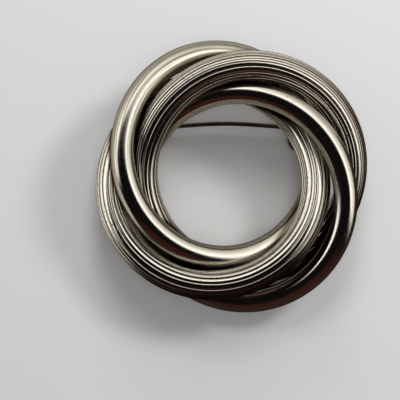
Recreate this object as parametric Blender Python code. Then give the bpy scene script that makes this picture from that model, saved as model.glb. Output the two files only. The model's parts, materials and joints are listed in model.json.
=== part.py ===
"""Twisted wreath brooch: four linked rings, with a hinged pin and a turning catch behind them.

The wreath is drawn face up, in a frame whose origin is its middle: +X right, +Y up the wreath, +Z out of its
front. It is then set down on its back, where it stands on its hinge, its catch and the lower edge of a ring.
Lengths are in metres and angles in degrees.
"""

import math
from itertools import combinations

import bmesh
import bpy
import numpy as np
from mathutils import Matrix, Vector

# Strands
SMOOTH_TUBE_RADIUS = 0.00165
RIBBED_TUBE_RADIUS = 0.00205
RIB_COUNT = 26
RIB_DEPTH = 0.00018
STRAND_GAP = 0.0001
RING_STEPS = 36
SMOOTH_SIDES = 14

# Rings: the mean radius they share, and for each ring how much larger or smaller it was bent, the direction
# of its outermost point, its throw from the wreath's middle towards that point, and its lift to front and back
RING_RADIUS = 0.0146
RIBBED_RIGHT_OVERSIZE = 0.00025
RIBBED_RIGHT_AZIMUTH = 19.0
RIBBED_RIGHT_THROW = 0.00275
RIBBED_RIGHT_LIFT = 0.0034
SMOOTH_UPPER_OVERSIZE = -0.00015
SMOOTH_UPPER_AZIMUTH = 110.0
SMOOTH_UPPER_THROW = 0.00325
SMOOTH_UPPER_LIFT = 0.0042
RIBBED_LEFT_OVERSIZE = -0.0002
RIBBED_LEFT_AZIMUTH = 202.5
RIBBED_LEFT_THROW = 0.00255
RIBBED_LEFT_LIFT = 0.0036
SMOOTH_LOWER_OVERSIZE = 0.0002
SMOOTH_LOWER_AZIMUTH = 296.5
SMOOTH_LOWER_THROW = 0.00325
SMOOTH_LOWER_LIFT = 0.0041
LEAST_SPREAD = 0.6
MOST_SPREAD = 2.5

# Pin: how far its two axes lie inside the rings' mean radius, sideways and from the top
PIN_END_INSET = 0.0032
PIN_FROM_TOP = 0.00755
PIN_RADIUS = 0.00031
PIN_BOW = 0.00055
PIN_PAST_CATCH = 0.002
PIN_TAPER = 0.0045
PIN_POINT_RADIUS = 0.00006
EYE_WALL = 0.0004

# Oval patches soldered behind the wreath: how far each reaches from the end of the pin, inwards and outwards,
# and the direction of its outer end
PATCH_THICKNESS = 0.0004
PATCH_WIDTH = 0.0046
HINGE_PATCH_INWARD = 0.0038
HINGE_PATCH_OUTWARD = 0.0036
HINGE_PATCH_AZIMUTH = 62.0
CATCH_PATCH_INWARD = 0.0034
CATCH_PATCH_OUTWARD = 0.0038
CATCH_PATCH_AZIMUTH = 176.0

# Hinge and catch: uprights with a round end and a flat foot stand on a base and carry the axis
BASE_THICKNESS = 0.00035
FOOT_WIDTH = 0.0015
EAR_THICKNESS = 0.00045
RIVET_RADIUS = 0.0004
RIVET_HEAD_LIP = 0.0003
RIVET_HEAD_HEIGHT = 0.00025
CHEEK_WALL = 0.00035
CHEEK_THICKNESS = 0.0006
CHEEK_SPACING = 0.0014
SLEEVE_WALL = 0.0003
SLEEVE_LIP = 0.0001
TAB_LENGTH = 0.00125
TAB_THICKNESS = 0.0005
TAB_REST_ANGLE = 70.0

# Clearances
SEAT_GAP = 0.00005
RUNNING_GAP = 0.00006
MOUTH_GAP = 0.0001
BASE_GAP = 0.0001

# Solder
SOLDER_FILM = 0.00012
POOL_LENGTH = 0.0034
POOL_WIDTH = 0.0026
POOL_RISE = 0.0006
BEAD_LENGTH = 0.0026
BEAD_WIDTH = 0.0015
BEAD_HEIGHT = 0.001
BEAD_BELOW_CONTACT = 0.00055
BEAD_BEHIND_LOBE = 45.0

# Round forms
ROUND_SIDES = 16
PIN_SIDES = 10
PIN_STATIONS = 24


RINGS = {
    "ribbed_ring_right": ("ribbed", RIBBED_RIGHT_AZIMUTH, RIBBED_RIGHT_THROW, RIBBED_RIGHT_LIFT),
    "smooth_ring_upper": ("smooth", SMOOTH_UPPER_AZIMUTH, SMOOTH_UPPER_THROW, SMOOTH_UPPER_LIFT),
    "ribbed_ring_left": ("ribbed", RIBBED_LEFT_AZIMUTH, RIBBED_LEFT_THROW, RIBBED_LEFT_LIFT),
    "smooth_ring_lower": ("smooth", SMOOTH_LOWER_AZIMUTH, SMOOTH_LOWER_THROW, SMOOTH_LOWER_LIFT),
}
RING_RADII = {
    "ribbed_ring_right": RING_RADIUS + RIBBED_RIGHT_OVERSIZE,
    "smooth_ring_upper": RING_RADIUS + SMOOTH_UPPER_OVERSIZE,
    "ribbed_ring_left": RING_RADIUS + RIBBED_LEFT_OVERSIZE,
    "smooth_ring_lower": RING_RADIUS + SMOOTH_LOWER_OVERSIZE,
}
PIN_HALF_SPAN = RING_RADIUS - PIN_END_INSET
PIN_ABOVE_MIDDLE = RING_RADIUS - PIN_FROM_TOP
HINGE_STRAND = "smooth_ring_upper"
CATCH_STRAND = "ribbed_ring_left"


def clear_scene():
    for obj in list(bpy.data.objects):
        bpy.data.objects.remove(obj, do_unlink=True)


def metal(name, colour, roughness):
    material = bpy.data.materials.new(name)
    material.use_nodes = True
    shader = material.node_tree.nodes["Principled BSDF"]
    shader.inputs["Base Color"].default_value = (*colour, 1.0)
    shader.inputs["Roughness"].default_value = roughness
    shader.inputs["Metallic"].default_value = 1.0
    return material


def empty(name, parent, place=(0, 0, 0)):
    obj = bpy.data.objects.new(name, None)
    bpy.context.scene.collection.objects.link(obj)
    obj.parent = parent
    obj.location = place
    return obj


def solid(name, bm, parent, material=None, matrix=None):
    """An object that holds this mesh, with its faces turned outwards and its round sides shaded smooth."""
    bmesh.ops.recalc_face_normals(bm, faces=bm.faces)
    mesh = bpy.data.meshes.new(name)
    bm.to_mesh(mesh)
    bm.free()
    mesh.shade_smooth()
    mesh.set_sharp_from_angle(angle=math.radians(40))
    obj = bpy.data.objects.new(name, mesh)
    bpy.context.scene.collection.objects.link(obj)
    obj.parent = parent
    if matrix:
        obj.matrix_local = matrix
    if material:
        mesh.materials.append(material)
    return obj


def combine(obj, operation, *others):
    """Cuts the other shapes from the object, or joins them to it, and leaves them out of the render."""
    for other in others:
        modifier = obj.modifiers.new(other.name, "BOOLEAN")
        modifier.operation = operation
        modifier.object = other
        other.hide_render = True
        other.display_type = "WIRE"


def solve(error, low, high):
    """The value between low and high where a rising error crosses zero."""
    for _ in range(50):
        middle = (low + high) / 2
        low, high = (middle, high) if error(middle) < 0 else (low, middle)
    return high


def arc(radius, start, end, steps):
    angles = [math.radians(start + (end - start) * i / steps) for i in range(steps + 1)]
    return [(radius * math.cos(angle), radius * math.sin(angle)) for angle in angles]


def circle(radius, sides=ROUND_SIDES):
    return arc(radius, 0, 360, sides)[:-1]


def box(low, high):
    return [(low[0], low[1]), (high[0], low[1]), (high[0], high[1]), (low[0], high[1])]


def extruded(outline, axis, low, high):
    """A closed outline drawn square to X, Y or Z, and drawn out along it from low to high."""
    place = {
        "X": lambda a, b, c: Vector((c, a, b)),
        "Y": lambda a, b, c: Vector((a, c, b)),
        "Z": lambda a, b, c: Vector((a, b, c)),
    }[axis]
    bm = bmesh.new()
    face = bm.faces.new([bm.verts.new(place(a, b, low)) for a, b in outline])
    drawn = bmesh.ops.extrude_face_region(bm, geom=[face])["geom"]
    moved = [item for item in drawn if isinstance(item, bmesh.types.BMVert)]
    bmesh.ops.translate(bm, verts=moved, vec=place(0, 0, high - low))
    return bm


def spun(profile, axis, steps):
    """A profile of points, turned a full turn about an axis through the origin."""
    bm = bmesh.new()
    verts = [bm.verts.new(point) for point in profile]
    edges = [bm.edges.new(pair) for pair in zip(verts, verts[1:])]
    bmesh.ops.spin(bm, geom=verts + edges, cent=(0, 0, 0), axis=axis, angle=math.tau, steps=steps)
    bmesh.ops.remove_doubles(bm, verts=bm.verts, dist=1e-7)
    return bm


def tube_radius(name):
    return RIBBED_TUBE_RADIUS if RINGS[name][0] == "ribbed" else SMOOTH_TUBE_RADIUS


def ring_frame(name, spread):
    """A ring's middle, the directions to its outermost point and to its front point, and its axis."""
    _, azimuth, throw, lift = RINGS[name]
    turn = math.radians(azimuth)
    lean = math.asin(spread * lift / RING_RADII[name])
    outward = Vector((math.cos(turn), math.sin(turn), 0))
    forward = Vector((-math.sin(turn) * math.cos(lean), math.cos(turn) * math.cos(lean), math.sin(lean)))
    return spread * throw * outward, outward, forward, outward.cross(forward)


def ring_line(name, spread, count=180):
    """Points along the middle of a ring's strand."""
    middle, outward, forward, _ = ring_frame(name, spread)
    turns = np.linspace(0, math.tau, count, endpoint=False)[:, None]
    round_ring = np.cos(turns) * np.array(outward) + np.sin(turns) * np.array(forward)
    return np.array(middle) + RING_RADII[name] * round_ring


def least_gap(spread):
    """The smallest gap between two strands when every ring is drawn out from the middle by this factor."""
    lines = {name: ring_line(name, spread) for name in RINGS}
    gaps = []
    for first, second in combinations(RINGS, 2):
        apart = np.linalg.norm(lines[first][:, None] - lines[second][None], axis=2).min()
        gaps.append(apart - tube_radius(first) - tube_radius(second))
    return min(gaps)


SPREAD = solve(lambda spread: least_gap(spread) - STRAND_GAP, LEAST_SPREAD, MOST_SPREAD)
BACK = -max(SPREAD * RINGS[name][3] + tube_radius(name) for name in RINGS)
PATCH_FRONT = BACK - SOLDER_FILM - 2 * SEAT_GAP
PATCH_BACK = PATCH_FRONT - PATCH_THICKNESS

EYE_HALF_THICKNESS = PIN_RADIUS
EYE_HOLE_RADIUS = RIVET_RADIUS + RUNNING_GAP
EYE_RADIUS = EYE_HOLE_RADIUS + EYE_WALL
MOUTH_HALF_WIDTH = PIN_RADIUS + MOUTH_GAP
SLEEVE_BORE_RADIUS = MOUTH_HALF_WIDTH + SLEEVE_LIP
SLEEVE_RADIUS = SLEEVE_BORE_RADIUS + SLEEVE_WALL
SEAT_RADIUS = SLEEVE_RADIUS + RUNNING_GAP
UPRIGHT_RADIUS = SEAT_RADIUS + CHEEK_WALL
SLOT_HALF_WIDTH = EYE_HALF_THICKNESS + RUNNING_GAP
BRACKET_HALF_WIDTH = SLOT_HALF_WIDTH + EAR_THICKNESS
CRADLE_HALF_LENGTH = CHEEK_SPACING / 2 + CHEEK_THICKNESS

BASE_BOTTOM = max(SEAT_RADIUS, EYE_RADIUS) + BASE_GAP
BASE_TOP = BASE_BOTTOM + BASE_THICKNESS
FOOT_BELOW_AXIS = math.sqrt(UPRIGHT_RADIUS**2 - (FOOT_WIDTH / 2) ** 2)
AXIS_DEPTH = PATCH_BACK - SEAT_GAP - BASE_TOP
HINGE_AT = Vector((PIN_HALF_SPAN, PIN_ABOVE_MIDDLE, AXIS_DEPTH))
CATCH_AT = Vector((-PIN_HALF_SPAN, PIN_ABOVE_MIDDLE, AXIS_DEPTH))


def reach(name, direction):
    """How far a ring reaches from the wreath's middle in a direction."""
    middle, _, _, axis = ring_frame(name, SPREAD)
    return middle.dot(direction) + RING_RADII[name] * direction.cross(axis).length + tube_radius(name)


def rest_tilt():
    """The lean at which the feet of the findings and the lowest ring touch the same flat surface."""
    foot = Vector((0, PIN_ABOVE_MIDDLE - BRACKET_HALF_WIDTH, AXIS_DEPTH - FOOT_BELOW_AXIS))

    def ring_below_foot(tilt):
        down = Vector((0, -math.sin(tilt), -math.cos(tilt)))
        return max(reach(name, down) for name in RINGS) - foot.dot(down)

    return solve(ring_below_foot, 0, math.radians(45))


def brooch_at_rest():
    """The frame of the wreath, set down so that the surface it lies on is at height zero below its middle."""
    turned = Matrix.Rotation(rest_tilt(), 3, "X")

    def far(world_direction):
        return max(reach(name, turned.transposed() @ Vector(world_direction)) for name in RINGS)

    obj = empty("brooch", None)
    obj.rotation_euler = turned.to_euler()
    obj.location = (
        (far((-1, 0, 0)) - far((1, 0, 0))) / 2,
        (far((0, -1, 0)) - far((0, 1, 0))) / 2,
        far((0, 0, -1)),
    )
    return obj


def ring_shape(name, proud=0.0, grooves=True):
    """A ring about its own Z axis. Ribs run round it, and each is a crest beside a groove."""
    ribbed = RINGS[name][0] == "ribbed"
    sides = 2 * RIB_COUNT if ribbed else SMOOTH_SIDES
    profile = []
    for side in range(sides + 1):
        turn = math.tau * side / sides
        depth = RIB_DEPTH if ribbed and grooves and side % 2 else 0.0
        out = tube_radius(name) + proud - depth
        profile.append((RING_RADII[name] + out * math.cos(turn), 0, out * math.sin(turn)))
    return spun(profile, (0, 0, 1), RING_STEPS)


def ring_matrix(name):
    middle, outward, forward, axis = ring_frame(name, SPREAD)
    return Matrix.Translation(middle) @ Matrix((outward, forward, axis)).transposed().to_4x4()


def make_rings(brooch, finishes):
    """The four linked rings, and a slightly fatter copy of each that clears the solder from it."""
    clearances = {}
    for name, (strand, *_) in RINGS.items():
        solid(name, ring_shape(name), brooch, finishes[strand], ring_matrix(name))
        fatter = ring_shape(name, proud=SEAT_GAP, grooves=False)
        clearances[name] = solid(name + "_clearance", fatter, brooch, matrix=ring_matrix(name))
    return clearances


def patch_outline(inward, outward):
    """An oval with its long axis along X, reaching inward and outward of the origin."""
    half = (inward + outward) / 2
    return [(outward - half + half * a, PATCH_WIDTH / 2 * b) for a, b in circle(1.0, 2 * ROUND_SIDES)]


def make_patch(name, at, inward, outward, azimuth, brooch, material):
    outline = patch_outline(inward, outward)
    matrix = Matrix.Translation((at.x, at.y, 0)) @ Matrix.Rotation(math.radians(azimuth), 4, "Z")
    solid(name, extruded(outline, "Z", PATCH_BACK, PATCH_FRONT), brooch, material, matrix)


def make_pool(name, at, strand, brooch, material, clearances):
    """Solder that fills the room between a patch and the strand above it."""
    middle, _, _, axis = ring_frame(strand, SPREAD)
    line = ring_line(strand, SPREAD, 720)
    behind = line[line[:, 2] < 0]
    crest = Vector(behind[np.hypot(behind[:, 0] - at.x, behind[:, 1] - at.y).argmin()])
    along = axis.cross(crest - middle)
    low = PATCH_FRONT + SEAT_GAP
    high = crest.z - tube_radius(strand) + POOL_RISE
    outline = [(POOL_LENGTH / 2 * a, POOL_WIDTH / 2 * b) for a, b in circle(1.0)]
    matrix = Matrix.Translation((crest.x, crest.y, 0)) @ Matrix.Rotation(math.atan2(along.y, along.x), 4, "Z")
    pool = solid(name, extruded(outline, "Z", low, high), brooch, material, matrix)
    combine(pool, "DIFFERENCE", clearances[strand])


def make_bead(name, outer, inner, brooch, material, clearances):
    """A bead of solder in the valley behind two neighbouring strands."""
    azimuth = math.radians(RINGS[outer][1] - BEAD_BEHIND_LOBE)
    line = ring_line(outer, SPREAD, 720)
    turned = (np.arctan2(line[:, 1], line[:, 0]) - azimuth + math.pi) % math.tau - math.pi
    near = Vector(line[np.abs(turned).argmin()])
    other = ring_line(inner, SPREAD, 720)
    far = Vector(other[np.linalg.norm(other - np.array(near), axis=1).argmin()])
    between = (far - near).normalized()
    spare = (far - near).length - tube_radius(outer) - tube_radius(inner)
    contact = near + between * (tube_radius(outer) + spare / 2)
    down = (Vector((0, 0, -1)) + between * between.z).normalized()
    bm = bmesh.new()
    bmesh.ops.create_icosphere(bm, subdivisions=2, radius=1)
    bmesh.ops.scale(bm, verts=bm.verts, vec=(BEAD_LENGTH / 2, BEAD_WIDTH / 2, BEAD_HEIGHT / 2))
    turn = Matrix((between.cross(down), between, down)).transposed().to_4x4()
    matrix = Matrix.Translation(contact + down * (BEAD_BELOW_CONTACT + BEAD_HEIGHT / 2)) @ turn
    bead = solid(name, bm, brooch, material, matrix)
    combine(bead, "DIFFERENCE", clearances[outer], clearances[inner])


def upright():
    """The side view of an ear or a cheek: straight sides from its base, and a round end with a flat foot."""
    foot = math.degrees(math.asin(FOOT_BELOW_AXIS / UPRIGHT_RADIUS))
    left = arc(UPRIGHT_RADIUS, 180, 180 + foot, ROUND_SIDES // 4)
    right = arc(UPRIGHT_RADIUS, 360 - foot, 360, ROUND_SIDES // 4)
    return [(-UPRIGHT_RADIUS, BASE_TOP)] + left + right + [(UPRIGHT_RADIUS, BASE_TOP)]


def make_hinge(hinge, finishes):
    """A bracket with two ears, and the headed rivet that the pin turns on."""
    past = 2 * UPRIGHT_RADIUS
    bracket_mesh = extruded(upright(), "Y", -BRACKET_HALF_WIDTH, BRACKET_HALF_WIDTH)
    bracket = solid("hinge_bracket", bracket_mesh, hinge, finishes["finding"])
    slot = box((-SLOT_HALF_WIDTH, -past), (SLOT_HALF_WIDTH, BASE_BOTTOM))
    slot_cut = solid("hinge_slot", extruded(slot, "X", -past, past), hinge)
    hole = circle(RIVET_RADIUS + SEAT_GAP)
    hole_cut = solid("hinge_hole", extruded(hole, "Y", -past, past), hinge)
    combine(bracket, "DIFFERENCE", slot_cut, hole_cut)
    low = BRACKET_HALF_WIDTH + SEAT_GAP
    high = low + RIVET_HEAD_HEIGHT
    rim = RIVET_RADIUS + RIVET_HEAD_LIP
    half_profile = [(RIVET_RADIUS, low), (rim, low), (RIVET_RADIUS, high), (0, high)]
    profile = [(r, -y, 0) for r, y in reversed(half_profile)] + [(r, y, 0) for r, y in half_profile]
    solid("hinge_rivet", spun(profile, (0, 1, 0), ROUND_SIDES), hinge, finishes["pin"])


def pin_path(share):
    """The middle of the pin at a share of its length, bowed between its two straight ends."""
    span = 2 * PIN_HALF_SPAN
    along = share * (span + PIN_PAST_CATCH)
    bowed = math.tau * min(along / span, 1.0)
    return Vector((-along, PIN_BOW * (1 - math.cos(bowed)) / 2, 0))


def pin_radius(share):
    left = (1 - share) * (2 * PIN_HALF_SPAN + PIN_PAST_CATCH)
    full = min(left / PIN_TAPER, 1.0)
    return PIN_POINT_RADIUS + (PIN_RADIUS - PIN_POINT_RADIUS) * math.sin(full * math.pi / 2)


def make_pin(hinge, material):
    """A tapered wire with an eye at the hinge, whose hole turns on the rivet."""
    bm = bmesh.new()
    loops = []
    for station in range(PIN_STATIONS + 1):
        share = station / PIN_STATIONS
        middle = pin_path(share)
        section = circle(pin_radius(share), PIN_SIDES)
        loops.append([bm.verts.new(middle + Vector((0, a, b))) for a, b in section])
    for first, second in zip(loops, loops[1:]):
        for side in range(PIN_SIDES):
            after = (side + 1) % PIN_SIDES
            bm.faces.new((first[side], first[after], second[after], second[side]))
    bm.faces.new(loops[0])
    bm.faces.new(loops[-1])
    pin = solid("pin_stem", bm, hinge, material)
    eye_mesh = extruded(circle(EYE_RADIUS), "Y", -EYE_HALF_THICKNESS, EYE_HALF_THICKNESS)
    eye_disc = solid("pin_eye", eye_mesh, hinge)
    hole_mesh = extruded(circle(EYE_HOLE_RADIUS), "Y", -2 * EYE_HALF_THICKNESS, 2 * EYE_HALF_THICKNESS)
    hole_cut = solid("pin_eye_hole", hole_mesh, hinge)
    combine(pin, "UNION", eye_disc)
    combine(pin, "DIFFERENCE", hole_cut)


def make_catch(catch, finishes):
    """A cradle with two open cheeks, and the slotted sleeve that turns in them to shut the pin in."""
    past = 2 * UPRIGHT_RADIUS
    half = CRADLE_HALF_LENGTH
    cradle = solid("catch_cradle", extruded(upright(), "X", -half, half), catch, finishes["finding"])
    seat = circle(SEAT_RADIUS, 2 * ROUND_SIDES)
    seat_cut = solid("catch_seat", extruded(seat, "X", -past, past), catch)
    mouth = box((-MOUTH_HALF_WIDTH, -past), (MOUTH_HALF_WIDTH, 0))
    mouth_cut = solid("catch_mouth", extruded(mouth, "X", -past, past), catch)
    room = box((-past, -past), (past, BASE_BOTTOM))
    room_cut = solid("catch_room", extruded(room, "X", -CHEEK_SPACING / 2, CHEEK_SPACING / 2), catch)
    combine(cradle, "DIFFERENCE", seat_cut, mouth_cut, room_cut)

    outer_lip = math.degrees(math.asin(MOUTH_HALF_WIDTH / SLEEVE_RADIUS))
    inner_lip = math.degrees(math.asin(MOUTH_HALF_WIDTH / SLEEVE_BORE_RADIUS))
    section = arc(SLEEVE_RADIUS, -90 + outer_lip, 270 - outer_lip, ROUND_SIDES)
    section += arc(SLEEVE_BORE_RADIUS, 270 - inner_lip, -90 + inner_lip, ROUND_SIDES)
    sleeve = solid("catch_sleeve", extruded(section, "X", -half, half), catch, finishes["finding"])
    tab_half = CHEEK_SPACING / 2 - RUNNING_GAP
    tip_at = -SLEEVE_RADIUS - TAB_LENGTH + TAB_THICKNESS / 2
    root_at = -SLEEVE_RADIUS + SLEEVE_WALL / 2
    tab = [(a, b + tip_at) for a, b in arc(TAB_THICKNESS / 2, 180, 360, ROUND_SIDES // 2)]
    tab += [(TAB_THICKNESS / 2, root_at), (-TAB_THICKNESS / 2, root_at)]
    turned = Matrix.Rotation(math.radians(TAB_REST_ANGLE), 4, "X")
    thumb_tab = solid("catch_tab", extruded(tab, "X", -tab_half, tab_half), catch, matrix=turned)
    combine(sleeve, "UNION", thumb_tab)


def make_brooch():
    finishes = {
        "smooth": metal("polished_silver_tone", (0.78, 0.76, 0.72), 0.12),
        "ribbed": metal("ribbed_silver_tone", (0.70, 0.68, 0.63), 0.2),
        "finding": metal("aged_nickel", (0.52, 0.50, 0.43), 0.32),
        "pin": metal("steel_wire", (0.46, 0.44, 0.40), 0.28),
        "solder": metal("dull_solder", (0.50, 0.50, 0.48), 0.45),
    }
    brooch = brooch_at_rest()
    clearances = make_rings(brooch, finishes)
    hinge_reach = (HINGE_PATCH_INWARD, HINGE_PATCH_OUTWARD, HINGE_PATCH_AZIMUTH)
    catch_reach = (CATCH_PATCH_INWARD, CATCH_PATCH_OUTWARD, CATCH_PATCH_AZIMUTH)
    make_patch("hinge_patch", HINGE_AT, *hinge_reach, brooch, finishes["finding"])
    make_patch("catch_patch", CATCH_AT, *catch_reach, brooch, finishes["finding"])
    make_pool("hinge_solder", HINGE_AT, HINGE_STRAND, brooch, finishes["solder"], clearances)
    make_pool("catch_solder", CATCH_AT, CATCH_STRAND, brooch, finishes["solder"], clearances)
    names = list(RINGS)
    for number, outer in enumerate(names):
        inner = names[(number + 1) % len(names)]
        make_bead(f"ring_solder_{number + 1}", outer, inner, brooch, finishes["solder"], clearances)
    hinge = empty("hinge_axis", brooch, HINGE_AT)
    make_hinge(hinge, finishes)
    make_pin(hinge, finishes["pin"])
    catch = empty("catch_axis", brooch, CATCH_AT)
    make_catch(catch, finishes)


clear_scene()
make_brooch()
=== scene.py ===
import json
import math
import random

import bpy
import numpy as np
from mathutils import Matrix, Vector


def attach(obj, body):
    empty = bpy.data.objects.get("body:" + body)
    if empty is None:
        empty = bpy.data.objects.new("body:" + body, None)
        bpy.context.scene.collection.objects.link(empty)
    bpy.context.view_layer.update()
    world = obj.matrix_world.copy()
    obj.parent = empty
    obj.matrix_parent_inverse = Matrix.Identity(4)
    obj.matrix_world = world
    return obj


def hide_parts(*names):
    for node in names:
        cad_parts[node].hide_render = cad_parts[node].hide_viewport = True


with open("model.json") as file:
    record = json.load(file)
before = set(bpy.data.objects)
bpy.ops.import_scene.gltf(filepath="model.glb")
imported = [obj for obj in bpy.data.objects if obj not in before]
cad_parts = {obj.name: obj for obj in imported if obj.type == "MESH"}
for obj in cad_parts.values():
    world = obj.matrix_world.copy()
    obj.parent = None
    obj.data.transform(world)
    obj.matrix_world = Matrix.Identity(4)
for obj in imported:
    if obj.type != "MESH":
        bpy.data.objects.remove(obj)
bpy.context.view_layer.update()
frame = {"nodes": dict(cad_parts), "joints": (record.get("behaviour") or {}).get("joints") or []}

# Polished rings: two closed rings of round silver-tone metal, bent round a former and linked through the
# other two. The plate is bright, with drawn lines, hairline scratches and small pits. It is rubbed dull in
# streaks at the far left, and has brown painted shade where another strand lies close beside it or over it.
POLISHED_SIDES = 72
POLISHED_STEPS = 260
POLISHED_COLOUR = (0.76, 0.735, 0.67, 1.0)
POLISHED_DULL = (0.29, 0.255, 0.19, 1.0)
# Brown painted shade for the crevices and covered places.
POLISHED_SHADE = (0.16, 0.135, 0.09, 1.0)
POLISHED_ROUGHNESS = (0.13, 0.32)
POLISHED_HAZE = 0.16
POLISHED_SHADE_GAIN = 1.4
STREAK_FINENESS = 12.0
STREAK_LENGTH = 0.8
STREAK_RANGE = (0.46, 0.58)
STREAK_LEAST = 0.1
RUBBED_SIDE = Vector((-0.64, 0.77, 0.0))
RUBBED_RANGE = (0.55, 0.95)
# The reeded rings' outer flank is darker towards this side.
DARK_FLANK_SIDE = Vector((0.9, -0.78, 0.0))
DARK_FLANK_MIDDLE = 0.35
# Painted shade in the crevices: how far it reaches beside another strand, and under one that covers it.
SHADE_REACH = 0.0009
SHADE_FALL = 1.2
COVER_REACH = 0.0007
COVER_START = 0.8
COVER_FADE = 0.5
FACE_UP_GAIN = 1.5
DRAWN_LINE_DEPTH = 1.2e-6
WEAR_DEPTH = 8e-6
RING_MERGE = 1e-6
UP_WREATH = -Vector(frame["joints"][0]["axis"])
OUT_OF_WREATH = Vector((1.0, 0.0, 0.0)).cross(UP_WREATH)


def ring_place(name):
    """A ring's frame, whose Z is the ring's axis, with the radius of the ring and of its strand."""
    points = np.array([vertex.co for vertex in frame["nodes"][name].data.vertices])
    middle = points.mean(axis=0)
    axis = Vector(np.linalg.eigh(np.cov(points.T))[1][:, 0])
    axis *= math.copysign(1.0, axis.z)
    side = axis.orthogonal().normalized()
    turned = Matrix((side, axis.cross(side), axis)).transposed()
    inside = (points - middle) @ np.array(turned)
    reach = np.hypot(inside[:, 0], inside[:, 1])
    radius = (reach.max() + reach.min()) / 2
    strand = (reach.max() - reach.min()) / 2
    return Matrix.Translation(middle) @ turned.to_4x4(), radius, strand


RING_NAMES = ("smooth_ring_upper", "smooth_ring_lower", "ribbed_ring_right", "ribbed_ring_left")
RING_PLACES = {name: ring_place(name) for name in RING_NAMES}


def mark(piece, name, values):
    """Keeps a value for each point of the piece, for its material to read."""
    layer = piece.data.attributes.new(name, "FLOAT", "POINT")
    layer.data.foreach_set("value", np.asarray(values, dtype=np.float32))


def points_of(piece):
    """The places of a piece's points, one row each."""
    flat = np.zeros(3 * len(piece.data.vertices))
    piece.data.vertices.foreach_get("co", flat)
    return flat.reshape(-1, 3)


def fade(values):
    """Values held between 0 and 1."""
    return np.clip(values, 0.0, 1.0)


def crevices(points, face_up, node, strand):
    """How far each point lies in the corner beside another strand, or under one: where shade is painted."""
    crevice_shade = np.zeros(len(points))
    for other, (place, other_radius, other_strand) in RING_PLACES.items():
        if other != node:
            back = np.array(place.inverted())
            inside = points @ back[:3, :3].T + back[:3, 3]
            aside = np.hypot(inside[:, 0], inside[:, 1]) - other_radius
            gap = np.hypot(aside, inside[:, 2]) - other_strand
            beside = fade(1.0 - gap / SHADE_REACH) ** SHADE_FALL

            outward = back[:3, :3] @ np.array(OUT_OF_WREATH)
            rise = -inside[:, 2] / outward[2]
            above = inside + rise[:, np.newaxis] * outward
            past = np.abs(np.hypot(above[:, 0], above[:, 1]) - other_radius) - other_strand
            covered = fade((rise / strand - COVER_START) / COVER_FADE) * fade(1.0 - past / COVER_REACH)
            crevice_shade = np.maximum(crevice_shade, np.maximum(beside, covered * face_up))
    return crevice_shade


def bend_ring(name, node, section, steps):
    """A ring spun from the section of its strand, given as an angle and a radius for each point."""
    matrix, radius, strand = RING_PLACES[node]
    bpy.ops.object.select_all(action="DESELECT")
    bpy.ops.mesh.primitive_circle_add(vertices=len(section), radius=strand)
    ring = bpy.context.object
    ring.name = name
    for vertex, (turn, reach) in zip(ring.data.vertices, section):
        vertex.co = (reach * math.cos(turn), 0.0, reach * math.sin(turn))
    bpy.ops.object.mode_set(mode="EDIT")
    bpy.ops.mesh.select_all(action="SELECT")
    bpy.ops.transform.translate(value=(radius, 0.0, 0.0))
    bpy.ops.mesh.spin(steps=steps, angle=math.tau, center=(0.0, 0.0, 0.0), axis=(0.0, 0.0, 1.0))
    bpy.ops.mesh.select_all(action="SELECT")
    bpy.ops.mesh.remove_doubles(threshold=RING_MERGE)
    bpy.ops.mesh.normals_make_consistent(inside=False)
    bpy.ops.object.mode_set(mode="OBJECT")
    bpy.ops.object.shade_smooth()

    points = points_of(ring)
    across = np.hypot(points[:, 0], points[:, 1]) - radius
    around = np.arctan2(points[:, 2], across)
    along = np.arctan2(points[:, 1], points[:, 0])
    mark(ring, "lay_a", np.cos(around))
    mark(ring, "lay_b", np.sin(around))
    mark(ring, "lay_c", np.cos(along))
    mark(ring, "lay_d", np.sin(along))
    mark(ring, "sunk", strand - np.hypot(across, points[:, 2]))

    ring.matrix_world = matrix
    bpy.ops.object.transform_apply(location=True, rotation=True, scale=True)
    points = points_of(ring)
    face_up = fade(FACE_UP_GAIN * np.sin(around))
    # The painted shade for crevices and covered places, kept on each point.
    mark(ring, "crevice_shade", crevices(points, face_up, node, strand))
    mark(ring, "rubbed", fade(points @ np.array(RUBBED_SIDE) / radius))
    mark(ring, "darker_flank", fade(DARK_FLANK_MIDDLE + points @ np.array(DARK_FLANK_SIDE) / radius))
    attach(ring, "wreath")
    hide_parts(node)
    return ring


def add_node(tree, kind, sources=None, **settings):
    """A node with its settings. Each of its sockets is given a value or linked to another node."""
    node = tree.nodes.new(kind)
    for setting, value in settings.items():
        setattr(node, setting, value)
    for socket, source in (sources or {}).items():
        if isinstance(source, bpy.types.NodeSocket):
            tree.links.new(source, node.inputs[socket])
        else:
            node.inputs[socket].default_value = source
    return node


def calc(tree, operation, *terms, **settings):
    """What one operation makes of its terms."""
    node = add_node(tree, "ShaderNodeMath", dict(enumerate(terms)), operation=operation, **settings)
    return node.outputs[0]


def grade(tree, value, start, end, low=0.0, high=1.0, kind="LINEAR"):
    """A value that goes from low to high while another goes from start to end."""
    sources = {"Value": value, "From Min": start, "From Max": end, "To Min": low, "To Max": high}
    node = add_node(tree, "ShaderNodeMapRange", sources, interpolation_type=kind)
    return node.outputs["Result"]


def blend(tree, share, first, second):
    """A colour between two others."""
    node = add_node(tree, "ShaderNodeMix", {0: share, 6: first, 7: second}, data_type="RGBA")
    return node.outputs[2]


def relief(tree, height, depth, normal=None):
    """The surface's normal, over small bumps, on top of any that are there already."""
    sources = {"Height": height, "Distance": depth}
    if normal is not None:
        sources["Normal"] = normal
    return add_node(tree, "ShaderNodeBump", sources).outputs["Normal"]


def read_mark(tree, name):
    """The value that the points of a piece keep under a name."""
    return add_node(tree, "ShaderNodeAttribute", attribute_name=name).outputs["Fac"]


def use_group(tree, group, **values):
    """What a shader group puts out, with any of its inputs set."""
    return add_node(tree, "ShaderNodeGroup", values, node_tree=group).outputs


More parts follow.
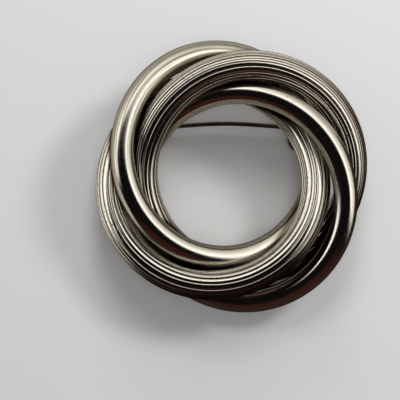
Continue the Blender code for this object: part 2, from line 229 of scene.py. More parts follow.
def new_group(name, inputs, outputs):
    """An empty shader group, from the names and values of its inputs and the names of its outputs."""
    tree = bpy.data.node_groups.new(name, "ShaderNodeTree")
    for label, value in inputs.items():
        socket = tree.interface.new_socket(label, in_out="INPUT", socket_type="NodeSocketFloat")
        socket.default_value = value
    for label in outputs:
        tree.interface.new_socket(label, in_out="OUTPUT", socket_type="NodeSocketFloat")
    return tree, tree.nodes.new("NodeGroupInput").outputs, tree.nodes.new("NodeGroupOutput").inputs


CLOUD_SCALE = 190.0
CLOUD_RANGE = (0.38, 0.72)
SCRATCH_LAYS = ((0.5, 3.0), (2.1, 11.0))
SCRATCH_TILT = (0.3, 0.2)
SCRATCH_SCALE = (260.0, 5200.0, 2600.0)
SCRATCH_RANGE = (0.66, 0.74)
SCRATCH_DEPTH = 0.3
PIT_SCALE = 2100.0
PIT_RANGE = (0.24, 0.12)
PIT_PATCH_SCALE = 260.0
PIT_PATCH_RANGE = (0.58, 0.7)


def worn_plate_group():
    """Wear that any of the metals here can show: a patchy haze, hairline scratches and small pits."""
    tree, given, made = new_group("Worn plate", {"Scratches": 1.0, "Pits": 1.0}, ["Haze", "Pitted", "Relief"])
    place = add_node(tree, "ShaderNodeTexCoord").outputs["Object"]
    cloud_look = {"Vector": place, "Scale": CLOUD_SCALE, "Detail": 5.0, "Roughness": 0.62}
    cloud = add_node(tree, "ShaderNodeTexNoise", cloud_look).outputs["Fac"]
    tree.links.new(grade(tree, cloud, *CLOUD_RANGE), made["Haze"])

    lines = []
    for turn, shift in SCRATCH_LAYS:
        rotation = (*SCRATCH_TILT, turn)
        lay = {"Vector": place, "Rotation": rotation, "Scale": SCRATCH_SCALE, "Location": (shift, 0.0, 0.0)}
        laid = add_node(tree, "ShaderNodeMapping", lay).outputs["Vector"]
        streak_look = {"Vector": laid, "Scale": 1.0, "Detail": 1.0}
        streak = add_node(tree, "ShaderNodeTexNoise", streak_look).outputs["Fac"]
        lines.append(grade(tree, streak, *SCRATCH_RANGE))
    scratched = calc(tree, "MULTIPLY", calc(tree, "MAXIMUM", *lines), given["Scratches"])

    cell_look = {"Vector": place, "Scale": PIT_SCALE, "Randomness": 1.0}
    cells = add_node(tree, "ShaderNodeTexVoronoi", cell_look).outputs["Distance"]
    patch_look = {"Vector": place, "Scale": PIT_PATCH_SCALE, "Detail": 2.0}
    patches = add_node(tree, "ShaderNodeTexNoise", patch_look).outputs["Fac"]
    few = calc(tree, "MULTIPLY", grade(tree, cells, *PIT_RANGE), grade(tree, patches, *PIT_PATCH_RANGE))
    pitted = calc(tree, "MULTIPLY", few, given["Pits"])
    tree.links.new(pitted, made["Pitted"])

    worn_away = calc(tree, "MULTIPLY", scratched, -SCRATCH_DEPTH)
    tree.links.new(calc(tree, "SUBTRACT", worn_away, pitted), made["Relief"])
    return tree


def drawn_lines_group():
    """Fine lines that run along a strand, left by drawing and polishing it lengthwise."""
    tree, given, made = new_group("Drawn lines", {"Fineness": 60.0, "Length": 3.0}, ["Line"])
    scaled = []
    lays = {"lay_a": "Fineness", "lay_b": "Fineness", "lay_c": "Length", "lay_d": "Length"}
    for label, size in lays.items():
        scaled.append(calc(tree, "MULTIPLY", read_mark(tree, label), given[size]))
    laid = add_node(tree, "ShaderNodeCombineXYZ", dict(zip("XYZ", scaled))).outputs["Vector"]
    line_look = {"Vector": laid, "W": scaled[3], "Scale": 1.0, "Detail": 3.0, "Roughness": 0.6}
    line = add_node(tree, "ShaderNodeTexNoise", line_look, noise_dimensions="4D").outputs["Fac"]
    tree.links.new(line, made["Line"])
    return tree


WORN_PLATE = worn_plate_group()
DRAWN_LINES = drawn_lines_group()
METAL_EDGE_TINT = (0.5, 0.47, 0.42, 1.0)


def new_metal(name):
    """A material whose shader is a bare metal, with its node tree and the shader's sockets."""
    material = bpy.data.materials.new(name)
    material.use_nodes = True
    sockets = material.node_tree.nodes["Principled BSDF"].inputs
    sockets["Metallic"].default_value = 1.0
    sockets["Specular Tint"].default_value = METAL_EDGE_TINT
    return material, material.node_tree, sockets


def polished_plate():
    """Bright plate, rubbed in streaks on one side, with painted shade in its crevices and stains in its pits.
    """
    material, tree, sockets = new_metal("polished_silver_tone")
    worn = use_group(tree, WORN_PLATE)
    drawn = use_group(tree, DRAWN_LINES)
    broad = use_group(tree, DRAWN_LINES, Fineness=STREAK_FINENESS, Length=STREAK_LENGTH)

    side = grade(tree, read_mark(tree, "rubbed"), *RUBBED_RANGE)
    streaks = grade(tree, broad["Line"], *STREAK_RANGE, STREAK_LEAST)
    haze = calc(tree, "MULTIPLY", worn["Haze"], POLISHED_HAZE)
    dull = calc(tree, "MAXIMUM", calc(tree, "MULTIPLY", side, streaks), haze)
    # Brown painted shade in the crevices, with the stains in the pits.
    corner = calc(tree, "MULTIPLY", read_mark(tree, "crevice_shade"), POLISHED_SHADE_GAIN, use_clamp=True)
    shade_and_stains = calc(tree, "MAXIMUM", corner, worn["Pitted"])

    plate = blend(tree, dull, POLISHED_COLOUR, POLISHED_DULL)
    tree.links.new(blend(tree, shade_and_stains, plate, POLISHED_SHADE), sockets["Base Color"])
    tree.links.new(grade(tree, dull, 0.0, 1.0, *POLISHED_ROUGHNESS), sockets["Roughness"])
    lined = relief(tree, drawn["Line"], DRAWN_LINE_DEPTH)
    tree.links.new(relief(tree, worn["Relief"], WEAR_DEPTH, lined), sockets["Normal"])
    return material


polished = polished_plate()
POLISHED_RINGS = {"polished_ring_upper": "smooth_ring_upper", "polished_ring_lower": "smooth_ring_lower"}
for name, node in POLISHED_RINGS.items():
    strand = RING_PLACES[node][2]
    section = [(math.tau * side / POLISHED_SIDES, strand) for side in range(POLISHED_SIDES)]
    ring = bend_ring(name, node, section, POLISHED_STEPS)
    ring.data.materials.append(polished)

# Reeded rings: two rings of the same metal, rolled with reeds of uneven width that run along the strand.
# The crests are bright and finely hatched. The grooves are near black, the crevices have dark brown painted
# shade, and the outer flank is darker at the near right.
REED_COUNT = 20
REED_POINTS = 16
REED_STEPS = 200
REED_SPREAD = 0.5
REED_CROWN = 0.00005
REED_CROWN_SPREAD = (0.4, 1.5)
REED_GROOVE = 0.00018
REED_GROOVE_SPREAD = (0.6, 1.2)
REED_SHOULDER = (0.5, 0.74)
REED_COLOUR = (0.80, 0.76, 0.69, 1.0)
# Dark brown painted shade for the crevices.
REED_SHADE = (0.036, 0.025, 0.018, 1.0)
# The darker tone of the outer flank towards the near right.
REED_DARK_FLANK = (0.17, 0.135, 0.115, 1.0)
REED_DULL = (0.19, 0.16, 0.12, 1.0)
REED_ROUGHNESS = (0.12, 0.4)
REED_SCRATCHES = 0.4
REED_HAZE = 0.1
REED_SHADE_GAIN = 1.6
# Near-black grooves between the reeds.
GROOVE_COLOUR = (0.012, 0.007, 0.005, 1.0)
GROOVE_RANGE = (0.00006, 0.00012)
HATCH_FINENESS = 17.0
HATCH_LENGTH = 75.0
HATCH_DEPTH = 3e-6
SPECK_RANGE = (0.575, 0.64)
SPECK_STRENGTH = 0.65
FLANK_RANGE = (0.35, 0.75)
FIRST_SEED = 4


def reeded_section(strand, seed):
    """Reeds of uneven width and roundness, with a groove of its own width and depth between each two."""
    uneven = random.Random(seed)
    widths = [1.0 + uneven.uniform(-REED_SPREAD, REED_SPREAD) for _ in range(REED_COUNT)]
    crowns = [REED_CROWN * width * uneven.uniform(*REED_CROWN_SPREAD) for width in widths]
    grooves = []
    for _ in range(REED_COUNT):
        depth = REED_GROOVE * uneven.uniform(*REED_GROOVE_SPREAD)
        grooves.append((depth, uneven.uniform(*REED_SHOULDER)))
    section = []
    start = 0.0
    for reed, width in enumerate(widths):
        for point in range(REED_POINTS):
            share = point / REED_POINTS
            from_crest = abs(2.0 * share - 1.0)
            depth, shoulder = grooves[reed if share < 0.5 else (reed + 1) % REED_COUNT]
            down = max(0.0, from_crest - shoulder) / (1.0 - shoulder)
            sunk = crowns[reed] * from_crest**2 + depth * down**2
            section.append((math.tau * (start + width * share) / sum(widths), strand - sunk))
        start += width
    return section


def reeded_plate():
    """Bright hatched crests, with black grooves, painted shade in the crevices and a darker near-right flank.
    """
    material, tree, sockets = new_metal("reeded_silver_tone")
    worn = use_group(tree, WORN_PLATE, Scratches=REED_SCRATCHES)
    hatch = use_group(tree, DRAWN_LINES, Fineness=HATCH_FINENESS, Length=HATCH_LENGTH)["Line"]

    haze = calc(tree, "MULTIPLY", worn["Haze"], REED_HAZE)
    specks = grade(tree, hatch, *SPECK_RANGE)
    grain = calc(tree, "MULTIPLY_ADD", specks, SPECK_STRENGTH, haze)
    flank = grade(tree, read_mark(tree, "lay_a"), *FLANK_RANGE)
    # Darker towards the near right, on the outer flank.
    flank_darkening = calc(tree, "MULTIPLY", flank, read_mark(tree, "darker_flank"))
    # Dark brown painted shade in the crevices.
    corner = calc(tree, "MULTIPLY", read_mark(tree, "crevice_shade"), REED_SHADE_GAIN, use_clamp=True)
    # Near-black grooves, and the stains in the pits.
    groove = grade(tree, read_mark(tree, "sunk"), *GROOVE_RANGE)
    groove_and_pits = calc(tree, "MAXIMUM", groove, worn["Pitted"])

    plate = blend(tree, grain, REED_COLOUR, REED_DULL)
    darker_flank = blend(tree, flank_darkening, plate, REED_DARK_FLANK)
    shade_and_stains = blend(tree, corner, darker_flank, REED_SHADE)
    tree.links.new(blend(tree, groove_and_pits, shade_and_stains, GROOVE_COLOUR), sockets["Base Color"])
    tree.links.new(grade(tree, groove_and_pits, 0.0, 1.0, *REED_ROUGHNESS), sockets["Roughness"])
    hatched = relief(tree, hatch, HATCH_DEPTH)
    tree.links.new(relief(tree, worn["Relief"], WEAR_DEPTH, hatched), sockets["Normal"])
    return material


reeded = reeded_plate()
REEDED_RINGS = {"reeded_ring_right": "ribbed_ring_right", "reeded_ring_left": "ribbed_ring_left"}
for seed, (name, node) in enumerate(REEDED_RINGS.items(), start=FIRST_SEED):
    ring = bend_ring(name, node, reeded_section(RING_PLACES[node][2], seed), REED_STEPS)
    ring.data.materials.append(reeded)

# Ring solder: a bead of soft solder behind the wreath, run into the valley at each of four places where two
# strands meet. It is dull, lumpy and greyer than the plate.
SOLDER_COLOUR = (0.40, 0.395, 0.375, 1.0)
SOLDER_DULL = (0.17, 0.16, 0.145, 1.0)
SOLDER_ROUGHNESS = (0.34, 0.5)
SOLDER_SCRATCHES = 0.2
SOLDER_BEADS = 4
SOLDER_MERGE = 1e-7
SOLDER_GRAIN = 0.00005
SOLDER_SOFTENING = 0.5
SOLDER_SOFTENINGS = 6
SOLDER_LUMPS = 0.00007
SOLDER_LUMP_SIZE = 0.0006
AGED_DEPTH = 1e-5
SLIVER = 2e-6
CREASE = math.radians(35.0)


def aged_metal(name, bright, dull, roughness, scratches, pits=1.0):
    """A metal that is patchy from age, between a bright and a dull colour, and scratched and pitted."""
    material, tree, sockets = new_metal(name)
    worn = use_group(tree, WORN_PLATE, Scratches=scratches, Pits=pits)
    aged = calc(tree, "MAXIMUM", worn["Haze"], worn["Pitted"])
    tree.links.new(blend(tree, aged, bright, dull), sockets["Base Color"])
    tree.links.new(grade(tree, aged, 0.0, 1.0, *roughness), sockets["Roughness"])
    tree.links.new(relief(tree, worn["Relief"], AGED_DEPTH), sockets["Normal"])
    return material


def pick(piece):
    """Selects one piece alone and makes it the active one."""
    bpy.ops.object.select_all(action="DESELECT")
    piece.select_set(True)
    bpy.context.view_layer.objects.active = piece


def apply_modifier(piece, kind, **settings):
    """Adds a modifier to a piece and applies it."""
    pick(piece)
    modifier = piece.modifiers.new(kind, kind)
    for setting, value in settings.items():
        setattr(modifier, setting, value)
    bpy.ops.object.modifier_apply(modifier=modifier.name)


def fit_piece(piece, name, node, body, material, place=None):
    """Names a finished piece, sets it in its place on the brooch, clears slivers and gives it its metal."""
    pick(piece)
    piece.name = name
    if place:
        piece.matrix_world = place
        bpy.ops.object.transform_apply(location=True, rotation=True, scale=True)
    bpy.ops.object.mode_set(mode="EDIT")
    bpy.ops.mesh.select_all(action="SELECT")
    bpy.ops.mesh.dissolve_degenerate(threshold=SLIVER)
    bpy.ops.object.mode_set(mode="OBJECT")
    bpy.ops.object.shade_smooth_by_angle(angle=CREASE)
    piece.data.materials.clear()
    piece.data.materials.append(material)
    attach(piece, body)
    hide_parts(node)


def run_solder(name, node, material):
    """A lump of solder that fills the room kept for it, softened and uneven all over."""
    lump = bpy.data.objects.new(name, frame["nodes"][node].data.copy())
    bpy.context.scene.collection.objects.link(lump)
    pick(lump)
    bpy.ops.object.mode_set(mode="EDIT")
    bpy.ops.mesh.select_all(action="SELECT")
    bpy.ops.mesh.remove_doubles(threshold=SOLDER_MERGE)
    bpy.ops.object.mode_set(mode="OBJECT")
    apply_modifier(lump, "REMESH", mode="VOXEL", voxel_size=SOLDER_GRAIN)
    apply_modifier(lump, "SMOOTH", factor=SOLDER_SOFTENING, iterations=SOLDER_SOFTENINGS)
    clouds = bpy.data.textures.new(name, "CLOUDS")
    clouds.noise_scale = SOLDER_LUMP_SIZE
    apply_modifier(lump, "DISPLACE", texture=clouds, texture_coords="LOCAL", strength=SOLDER_LUMPS)
    fit_piece(lump, name, node, "wreath", material)


solder = aged_metal("dull_solder", SOLDER_COLOUR, SOLDER_DULL, SOLDER_ROUGHNESS, SOLDER_SCRATCHES)
for number in range(1, SOLDER_BEADS + 1):
    run_solder(f"solder_bead_{number}", f"ring_solder_{number}", solder)

# Patches: two thin oval plates, blanked from nickel-plated sheet with a softly rounded edge, that carry the
# hinge and the catch. Each is held to the strand above it by a pool of the same solder.
NICKEL_COLOUR = (0.46, 0.43, 0.36, 1.0)
NICKEL_DULL = (0.21, 0.18, 0.135, 1.0)
NICKEL_ROUGHNESS = (0.24, 0.42)
NICKEL_SCRATCHES = 1.0
PATCH_SIDES = 128
PATCH_WIDTH = 0.0046
PATCH_LOW = 0.00137
PATCH_HIGH = 0.00177
PATCH_EDGE = 0.00012
HINGE_PATCH_INWARD = 0.0038
HINGE_PATCH_OUTWARD = 0.0036
HINGE_PATCH_TURN = 62.0
CATCH_PATCH_INWARD = 0.0034
CATCH_PATCH_OUTWARD = 0.0038
CATCH_PATCH_TURN = 176.0
EDGE_STEPS = 4
LEAN = Matrix(((1.0, 0.0, 0.0), UP_WREATH, OUT_OF_WREATH)).transposed().to_4x4()
HINGE_PLACE, CATCH_PLACE = (Matrix.Translation(joint["pos_m"]) @ LEAN for joint in frame["joints"])


def draw_out(outline, axis, low, high):
    """A flat outline, square to X, Y or Z, drawn out along that axis into a solid."""
    bpy.ops.object.select_all(action="DESELECT")
    bpy.ops.mesh.primitive_circle_add(vertices=len(outline), fill_type="NGON")
    piece = bpy.context.object
    for vertex, (a, b) in zip(piece.data.vertices, outline):
        vertex.co = {"X": (low, a, b), "Y": (a, low, b), "Z": (a, b, low)}[axis]
    along = tuple((high - low) * (letter == axis) for letter in "XYZ")
    bpy.ops.object.mode_set(mode="EDIT")
    bpy.ops.mesh.select_all(action="SELECT")
    bpy.ops.mesh.extrude_region_move(TRANSFORM_OT_translate={"value": along})
    bpy.ops.mesh.select_all(action="SELECT")
    bpy.ops.mesh.normals_make_consistent(inside=False)
    bpy.ops.object.mode_set(mode="OBJECT")
    return piece


def arc(radius, start, end, steps):
    """Points along an arc, from one angle to another in degrees."""
    turns = [math.radians(start + (end - start) * step / steps) for step in range(steps + 1)]
    return [(radius * math.cos(turn), radius * math.sin(turn)) for turn in turns]


def full_circle(radius, sides):
    """Points round a circle, none of them twice."""
    return arc(radius, 0.0, 360.0, sides)[:-1]


def round_edges(piece, width):
    """Takes the sharpness off every edge of a piece."""
    apply_modifier(
        piece, "BEVEL", width=width, segments=EDGE_STEPS, limit_method="ANGLE", angle_limit=CREASE
    )


def cut_patch(name, node, place, inward, outward, turn):
    """An oval plate that reaches further on one side of the finding that it carries than on the other."""
    half = (inward + outward) / 2
    oval = [(outward - half + half * a, PATCH_WIDTH / 2 * b) for a, b in full_circle(1.0, PATCH_SIDES)]
    plate = draw_out(oval, "Z", PATCH_LOW, PATCH_HIGH)
    round_edges(plate, PATCH_EDGE)
    turned = place @ Matrix.Rotation(math.radians(turn), 4, "Z")
    fit_piece(plate, name, node, "wreath", nickel, turned)


nickel = aged_metal("aged_nickel", NICKEL_COLOUR, NICKEL_DULL, NICKEL_ROUGHNESS, NICKEL_SCRATCHES)
cut_patch(
    "hinge_plate", "hinge_patch", HINGE_PLACE, HINGE_PATCH_INWARD, HINGE_PATCH_OUTWARD, HINGE_PATCH_TURN
)
cut_patch(
    "catch_plate", "catch_patch", CATCH_PLACE, CATCH_PATCH_INWARD, CATCH_PATCH_OUTWARD, CATCH_PATCH_TURN
)
run_solder("hinge_solder_pool", "hinge_solder", solder)
run_solder("catch_solder_pool", "catch_solder", solder)

# Hinge bracket: a small stirrup of the same plated metal, milled with two round-ended ears and soldered by
# its base to the hinge plate. The foot of each ear is filed flat.
UPRIGHT_RADIUS = 0.00122
UPRIGHT_SIDES = 48
FOOT_HALF_WIDTH = 0.00075
BASE_LOW = 0.00097
BASE_HIGH = 0.00132
EAR_INSIDE = 0.00037
EAR_OUTSIDE = 0.00082
EAR_HOLE = 0.00045
HOLE_SIDES = 48
FINDING_EDGE = 0.00006
PAST = 0.003


def upright_outline():
    """An ear or a cheek from the side: straight from its base, with a round end that has a flat foot."""
    turn = math.degrees(math.acos(FOOT_HALF_WIDTH / UPRIGHT_RADIUS))
    left = arc(UPRIGHT_RADIUS, 180.0, 180.0 + turn, UPRIGHT_SIDES // 2)
    right = arc(UPRIGHT_RADIUS, 360.0 - turn, 360.0, UPRIGHT_SIDES // 2)
    return [(-UPRIGHT_RADIUS, BASE_HIGH)] + left + right + [(UPRIGHT_RADIUS, BASE_HIGH)]


def box_outline(low, high):
    """The four corners of a box, from two opposite ones."""
    return [(low[0], low[1]), (high[0], low[1]), (high[0], high[1]), (low[0], high[1])]


def combine(piece, operation, other):
    """Cuts the other shape from a piece, or joins it to the piece."""
    apply_modifier(piece, "BOOLEAN", operation=operation, object=other, solver="EXACT")
    bpy.data.objects.remove(other, do_unlink=True)


bracket = draw_out(upright_outline(), "Y", -EAR_OUTSIDE, EAR_OUTSIDE)
slot_between = draw_out(box_outline((-EAR_INSIDE, -PAST), (EAR_INSIDE, BASE_LOW)), "X", -PAST, PAST)
combine(bracket, "DIFFERENCE", slot_between)
combine(bracket, "DIFFERENCE", draw_out(full_circle(EAR_HOLE, HOLE_SIDES), "Y", -PAST, PAST))
round_edges(bracket, FINDING_EDGE)
fit_piece(bracket, "hinge_stirrup", "hinge_bracket", "wreath", nickel, HINGE_PLACE)

# Hinge rivet: a short rivet of dark steel wire through both ears and the eye of the pin. A domed head is
# hammered at each end, so that it can't fall out.
STEEL_COLOUR = (0.20, 0.18, 0.155, 1.0)
STEEL_DULL = (0.07, 0.055, 0.042, 1.0)
STEEL_ROUGHNESS = (0.18, 0.3)
STEEL_SCRATCHES = 0.5
STEEL_PITS = 0.1
RIVET_RADIUS = 0.0004
RIVET_SIDES = 64
RIVET_MERGE = 1e-7
HEAD_RADIUS = 0.0007
HEAD_LOW = 0.00087
HEAD_HIGH = 0.00112
HEAD_STRAIGHT = 0.3
DOME_STEPS = 14
steel = aged_metal("steel_wire", STEEL_COLOUR, STEEL_DULL, STEEL_ROUGHNESS, STEEL_SCRATCHES, STEEL_PITS)
half_side = [(RIVET_RADIUS, HEAD_LOW), (HEAD_RADIUS, HEAD_LOW)]
for a, b in arc(1.0, 0.0, 90.0, DOME_STEPS):
    height = HEAD_STRAIGHT + (1.0 - HEAD_STRAIGHT) * b
    half_side.append((HEAD_RADIUS * a, HEAD_LOW + (HEAD_HIGH - HEAD_LOW) * height))
rivet_side = [(r, -y) for r, y in reversed(half_side)] + half_side
bpy.ops.object.select_all(action="DESELECT")
bpy.ops.mesh.primitive_circle_add(vertices=len(rivet_side))
rivet = bpy.context.object
for vertex, (r, y) in zip(rivet.data.vertices, rivet_side):
    vertex.co = (max(r, 0.0), y, 0.0)
bpy.ops.object.mode_set(mode="EDIT")
bpy.ops.mesh.select_all(action="SELECT")
bpy.ops.mesh.spin(steps=RIVET_SIDES, angle=math.tau, center=(0.0, 0.0, 0.0), axis=(0.0, 1.0, 0.0))
bpy.ops.mesh.select_all(action="SELECT")
bpy.ops.mesh.remove_doubles(threshold=RIVET_MERGE)
bpy.ops.mesh.delete_loose()
bpy.ops.mesh.select_all(action="SELECT")
bpy.ops.mesh.normals_make_consistent(inside=False)
bpy.ops.object.mode_set(mode="OBJECT")
fit_piece(rivet, "domed_rivet", "hinge_rivet", "wreath", steel, HINGE_PLACE)

# Pin: spring steel wire, slightly bowed and ground to a point, with a flattened and drilled eye at its hinge
# end. It turns on the rivet and its point rests in the catch.
PIN_RADIUS = 0.00031
PIN_SIDES = 32
PIN_RUNS = 96
PIN_SPAN = 0.0228
PIN_LENGTH = 0.0248
PIN_BOW = 0.00055
PIN_TAPER = 0.0045
PIN_POINT = 0.00006
EYE_RADIUS = 0.00086
EYE_SIDES = 64
EYE_HOLE = 0.00046
bpy.ops.object.select_all(action="DESELECT")
bpy.ops.mesh.primitive_cylinder_add(vertices=PIN_SIDES, radius=PIN_RADIUS, depth=PIN_LENGTH)
pin = bpy.context.object
bpy.ops.object.mode_set(mode="EDIT")
bpy.ops.mesh.select_mode(type="EDGE")
bpy.ops.mesh.select_all(action="DESELECT")
bpy.ops.object.mode_set(mode="OBJECT")
for edge in pin.data.edges:
    first, second = (pin.data.vertices[end].co for end in edge.vertices)
    edge.select = abs(first.z - second.z) > PIN_LENGTH / 2
bpy.ops.object.mode_set(mode="EDIT")
bpy.ops.mesh.subdivide(number_cuts=PIN_RUNS - 1)
bpy.ops.mesh.select_mode(type="VERT")
bpy.ops.object.mode_set(mode="OBJECT")
for vertex in pin.data.vertices:
    along = vertex.co.z + PIN_LENGTH / 2
    full = min((PIN_LENGTH - along) / PIN_TAPER, 1.0)
    thick = (PIN_POINT + (PIN_RADIUS - PIN_POINT) * math.sin(full * math.pi / 2)) / PIN_RADIUS
    bowed = PIN_BOW * (1.0 - math.cos(math.tau * min(along / PIN_SPAN, 1.0))) / 2
    vertex.co = (-along, vertex.co.x * thick + bowed, vertex.co.y * thick)
bpy.ops.object.mode_set(mode="EDIT")
bpy.ops.mesh.select_all(action="SELECT")
bpy.ops.mesh.normals_make_consistent(inside=False)
bpy.ops.object.mode_set(mode="OBJECT")
combine(pin, "UNION", draw_out(full_circle(EYE_RADIUS, EYE_SIDES), "Y", -PIN_RADIUS, PIN_RADIUS))
combine(pin, "DIFFERENCE", draw_out(full_circle(EYE_HOLE, HOLE_SIDES), "Y", -PAST, PAST))
fit_piece(pin, "pin_wire", "pin_stem", "pin", steel, HINGE_PLACE)

# Catch cradle: the same block as the hinge bracket, milled with two cheeks that hold the sleeve in round
# seats, open at the bottom for the pin. It is soldered by its base to the catch plate.
CRADLE_HALF_LENGTH = 0.0013
CHEEK_INSIDE = 0.0007
SEAT_RADIUS = 0.00087
SEAT_SIDES = 72
MOUTH_HALF_WIDTH = 0.00041
cradle = draw_out(upright_outline(), "X", -CRADLE_HALF_LENGTH, CRADLE_HALF_LENGTH)
combine(cradle, "DIFFERENCE", draw_out(full_circle(SEAT_RADIUS, SEAT_SIDES), "X", -PAST, PAST))
mouth = draw_out(box_outline((-MOUTH_HALF_WIDTH, -PAST), (MOUTH_HALF_WIDTH, 0.0)), "X", -PAST, PAST)
combine(cradle, "DIFFERENCE", mouth)
between = draw_out(box_outline((-PAST, -PAST), (PAST, BASE_LOW)), "X", -CHEEK_INSIDE, CHEEK_INSIDE)
combine(cradle, "DIFFERENCE", between)
round_edges(cradle, FINDING_EDGE)
fit_piece(cradle, "catch_cheeks", "catch_cradle", "wreath", nickel, CATCH_PLACE)

# Catch sleeve: a slotted tube of plated metal that turns in the cheeks, with a thumb tab soldered to it
# between them. Turned, its wall closes the mouth and shuts the pin in.
SLEEVE_RADIUS = 0.00081
SLEEVE_BORE = 0.00051
SLEEVE_SIDES = 64
SLEEVE_EDGE = 0.000036
TAB_HALF_WIDTH = 0.00064
TAB_THICKNESS = 0.0005
TAB_LENGTH = 0.00125
TAB_SIDES = 20
TAB_TURN = math.radians(70.0)
outer_lip = math.degrees(math.asin(MOUTH_HALF_WIDTH / SLEEVE_RADIUS))
inner_lip = math.degrees(math.asin(MOUTH_HALF_WIDTH / SLEEVE_BORE))
tube = arc(SLEEVE_RADIUS, -90.0 + outer_lip, 270.0 - outer_lip, SLEEVE_SIDES)
tube += arc(SLEEVE_BORE, 270.0 - inner_lip, -90.0 + inner_lip, SLEEVE_SIDES)
sleeve = draw_out(tube, "X", -CRADLE_HALF_LENGTH, CRADLE_HALF_LENGTH)
tip = -SLEEVE_RADIUS - TAB_LENGTH + TAB_THICKNESS / 2
root = -(SLEEVE_RADIUS + SLEEVE_BORE) / 2
upright_blade = [(a, b + tip) for a, b in arc(TAB_THICKNESS / 2, 180.0, 360.0, TAB_SIDES)]
upright_blade += [(TAB_THICKNESS / 2, root), (-TAB_THICKNESS / 2, root)]
blade = []
for a, b in upright_blade:
    across = a * math.cos(TAB_TURN) - b * math.sin(TAB_TURN)
    blade.append((across, a * math.sin(TAB_TURN) + b * math.cos(TAB_TURN)))
combine(sleeve, "UNION", draw_out(blade, "X", -TAB_HALF_WIDTH, TAB_HALF_WIDTH))
round_edges(sleeve, SLEEVE_EDGE)
fit_piece(sleeve, "catch_tube", "catch_sleeve", "sleeve", nickel, CATCH_PLACE)

# Table: a plain pale sheet that the brooch lies on, face up. The metal mirrors it in darker tones, for the
# shade beside and inside the wreath and the dark near side of the room. Far off it fades into the backdrop,
# and from below it is clear, so that the back shows.
TABLE_SIZE = 3.0
TABLE_COLOUR = (0.78, 0.78, 0.775, 1.0)
TABLE_ROUGHNESS = 0.6
TABLE_FAR = (0.66, 0.66, 0.655, 1.0)
FAR_RANGE = (0.05, 0.2)
MIRRORED_PALE = (0.50, 0.475, 0.42, 1.0)
MIRRORED_EDGE = (0.17, 0.14, 0.105, 1.0)
MIRRORED_HOLE = (0.20, 0.18, 0.155, 1.0)
MIRRORED_DARK = (0.035, 0.024, 0.020, 1.0)
NEAR_SIDE = (0.55, -0.83, 0.0)
NEAR_RANGE = (0.0, 0.009)
OUTSIDE_RANGE = (0.016, 0.02)
HOLE_RANGE = (0.008, 0.012)
EDGE_RANGE = (0.032, 0.020)


def towards(tree, look, way):
    """How far a place, or a line of sight, lies in a given direction."""
    node = add_node(tree, "ShaderNodeVectorMath", {0: look, 1: way}, operation="DOT_PRODUCT")
    return node.outputs["Value"]


def mix_shaders(tree, share, first, second):
    """A shader between two others."""
    return add_node(tree, "ShaderNodeMixShader", {0: share, 1: first, 2: second}).outputs["Shader"]


def pale_sheet():
    """Matt pale sheet, which the metal mirrors as a glow of pale tones and painted shade."""
    material = bpy.data.materials.new("pale_sheet")
    material.use_nodes = True
    tree = material.node_tree
    matt = tree.nodes["Principled BSDF"]
    matt.inputs["Base Color"].default_value = TABLE_COLOUR
    matt.inputs["Roughness"].default_value = TABLE_ROUGHNESS
    rays = add_node(tree, "ShaderNodeLightPath").outputs

    place = add_node(tree, "ShaderNodeTexCoord").outputs["Object"]
    out = add_node(tree, "ShaderNodeVectorMath", {0: place}, operation="LENGTH").outputs["Value"]
    near = grade(tree, towards(tree, place, NEAR_SIDE), *NEAR_RANGE)
    near_edge = calc(tree, "MULTIPLY", near, grade(tree, out, *OUTSIDE_RANGE))
    outer = blend(tree, grade(tree, out, *EDGE_RANGE), MIRRORED_PALE, MIRRORED_EDGE)
    around = blend(tree, grade(tree, out, *HOLE_RANGE), MIRRORED_HOLE, outer)
    tone = blend(tree, near_edge, around, MIRRORED_DARK)
    # For the metal's reflections the sheet glows in these tones, with painted shade beside and inside the
    # wreath.
    mirrored = add_node(tree, "ShaderNodeEmission", {"Color": tone}).outputs["Emission"]
    above = mix_shaders(tree, rays["Is Glossy Ray"], matt.outputs["BSDF"], mirrored)

    far = grade(tree, out, *FAR_RANGE, kind="SMOOTHSTEP")
    fades = calc(tree, "MULTIPLY", far, rays["Is Camera Ray"])
    distance = add_node(tree, "ShaderNodeEmission", {"Color": TABLE_FAR}).outputs["Emission"]
    faded = mix_shaders(tree, fades, above, distance)

    behind = add_node(tree, "ShaderNodeNewGeometry").outputs["Backfacing"]
    clear = add_node(tree, "ShaderNodeBsdfTransparent").outputs["BSDF"]
    seen = mix_shaders(tree, behind, faded, clear)
    tree.links.new(seen, tree.nodes["Material Output"].inputs["Surface"])
    return material


bpy.ops.object.select_all(action="DESELECT")
bpy.ops.mesh.primitive_plane_add(size=TABLE_SIZE)
table = bpy.context.object
table.name = "table"
table.data.materials.append(pale_sheet())

# Light: four round soft lamps, one beyond the far edge, one low behind it, one at the far right and one
# above. The metal doesn't mirror them but the room, whose far side is pale and whose near side and ceiling
# are dark, as bright metal needs. Each lamp has its azimuth, elevation, distance, size and power.
LAMPS = (
    ("far_lamp", 2.0, 57.0, 0.20, 0.08, 0.10),
    ("low_lamp", 0.0, 30.0, 0.40, 0.10, 0.20),
    ("right_lamp", 58.0, 48.0, 0.32, 0.08, 0.33),
    ("top_lamp", 182.0, 78.0, 0.40, 0.14, 0.19),
)
WALL_TONES = (
    (-0.70, (0.28, 0.25, 0.20, 1.0)),
    (-0.34, (0.42, 0.39, 0.33, 1.0)),
    (0.00, (0.70, 0.67, 0.60, 1.0)),
    (0.34, (1.15, 1.12, 1.03, 1.0)),
    (0.60, (1.62, 1.60, 1.52, 1.0)),
)
WALL_AZIMUTH = 7.5
WALL_RANGE = (-0.46, -0.22)
CEILING_AZIMUTH = -160.0
CEILING_ELEVATION = 60.0
CEILING_RANGE = (math.cos(math.radians(42.0)), math.cos(math.radians(54.0)))
ROOM_DARK = (0.003, 0.003, 0.003, 1.0)
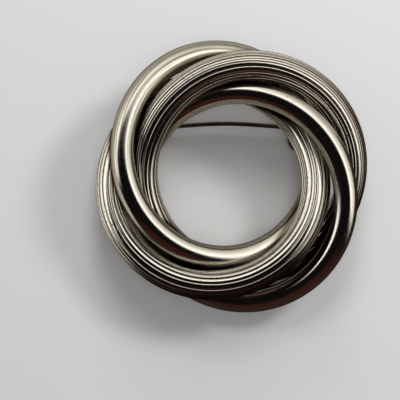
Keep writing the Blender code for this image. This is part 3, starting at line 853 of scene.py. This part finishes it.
ROOM_WARM = (0.040, 0.011, 0.008, 1.0)
WARM_RANGE = (-0.6, -0.85)
ROOM_FILL = (0.26, 0.26, 0.26, 1.0)
BACKDROP = TABLE_FAR


def direction(azimuth, elevation):
    """The way to a place in the room. Azimuth runs from +Y towards +X, in degrees."""
    turn = math.radians(azimuth)
    rise = math.radians(elevation)
    return Vector((math.sin(turn) * math.cos(rise), math.cos(turn) * math.cos(rise), math.sin(rise)))


def soft_lamp(name, azimuth, elevation, distance, size, power):
    """A round lamp that faces the brooch and isn't seen in the metal."""
    away = direction(azimuth, elevation)
    bpy.ops.object.select_all(action="DESELECT")
    bpy.ops.object.light_add(type="AREA", location=away * distance)
    lamp = bpy.context.object
    lamp.name = name
    lamp.rotation_euler = away.to_track_quat("Z", "Y").to_euler()
    lamp.data.shape = "DISK"
    lamp.data.size = size
    lamp.data.energy = power
    lamp.visible_glossy = False


def wall_tones(tree, height):
    """The tones of the pale side, from its foot up to the edge of the ceiling."""
    low = WALL_TONES[0][0]
    high = WALL_TONES[-1][0]
    wall = add_node(tree, "ShaderNodeValToRGB", {"Fac": grade(tree, height, low, high)})
    stops = wall.color_ramp.elements
    stops[0].color = WALL_TONES[0][1]
    stops[-1].color = WALL_TONES[-1][1]
    for at, tone in WALL_TONES[1:-1]:
        stops.new((at - low) / (high - low)).color = tone
    return wall.outputs["Color"]


for lamp in LAMPS:
    soft_lamp(*lamp)

world = bpy.data.worlds.new("room")
bpy.context.scene.world = world
world.use_nodes = True
tree = world.node_tree
look = add_node(tree, "ShaderNodeTexCoord").outputs["Generated"]
nearness = add_node(tree, "ShaderNodeSeparateXYZ", {"Vector": look}).outputs["Y"]
wall = towards(tree, look, direction(WALL_AZIMUTH, 0.0))
far_side = grade(tree, wall, *WALL_RANGE, kind="SMOOTHSTEP")
ceiling = towards(tree, look, direction(CEILING_AZIMUTH, CEILING_ELEVATION))
below_ceiling = grade(tree, ceiling, *CEILING_RANGE, kind="SMOOTHSTEP")
pale = calc(tree, "MULTIPLY", far_side, below_ceiling)
dark = blend(tree, grade(tree, nearness, *WARM_RANGE, kind="SMOOTHSTEP"), ROOM_DARK, ROOM_WARM)
room = blend(tree, pale, dark, wall_tones(tree, ceiling))
rays = add_node(tree, "ShaderNodeLightPath").outputs
mirrored = blend(tree, rays["Is Glossy Ray"], ROOM_FILL, room)
shown = blend(tree, rays["Is Camera Ray"], mirrored, BACKDROP)
tree.links.new(shown, tree.nodes["Background"].inputs["Color"])
bpy.context.scene.view_settings.view_transform = "Standard"

# Camera: about 20 cm from the wreath and, but for a degree or two, square to its face. The picture is
# square, and the length of the lens is given in pixels of it.
PICTURE_PIXELS = 400
LENS_PIXELS = 1430
CAMERA_AWAY = 0.200486
CAMERA_ASIDE = (-0.004192, -0.003295)
CAMERA_LEAN = math.radians(-1.48)
CAMERA_TURN = math.radians(-2.53)
CAMERA_CLOSEST = 0.01
WREATH_MIDDLE = Vector((-0.00036178, -0.00018503, 0.00772338))
wreath_lean = math.atan2(UP_WREATH.z, UP_WREATH.y)
camera = bpy.data.objects.new("camera", bpy.data.cameras.new("camera"))
bpy.context.scene.collection.objects.link(camera)
camera.data.angle = 2 * math.atan(PICTURE_PIXELS / 2 / LENS_PIXELS)
camera.data.clip_start = CAMERA_CLOSEST
camera.matrix_world = (
    Matrix.Translation(WREATH_MIDDLE)
    @ Matrix.Rotation(wreath_lean + CAMERA_LEAN, 4, "X")
    @ Matrix.Rotation(CAMERA_TURN, 4, "Y")
    @ Matrix.Translation((*CAMERA_ASIDE, CAMERA_AWAY))
)
bpy.context.scene.camera = camera
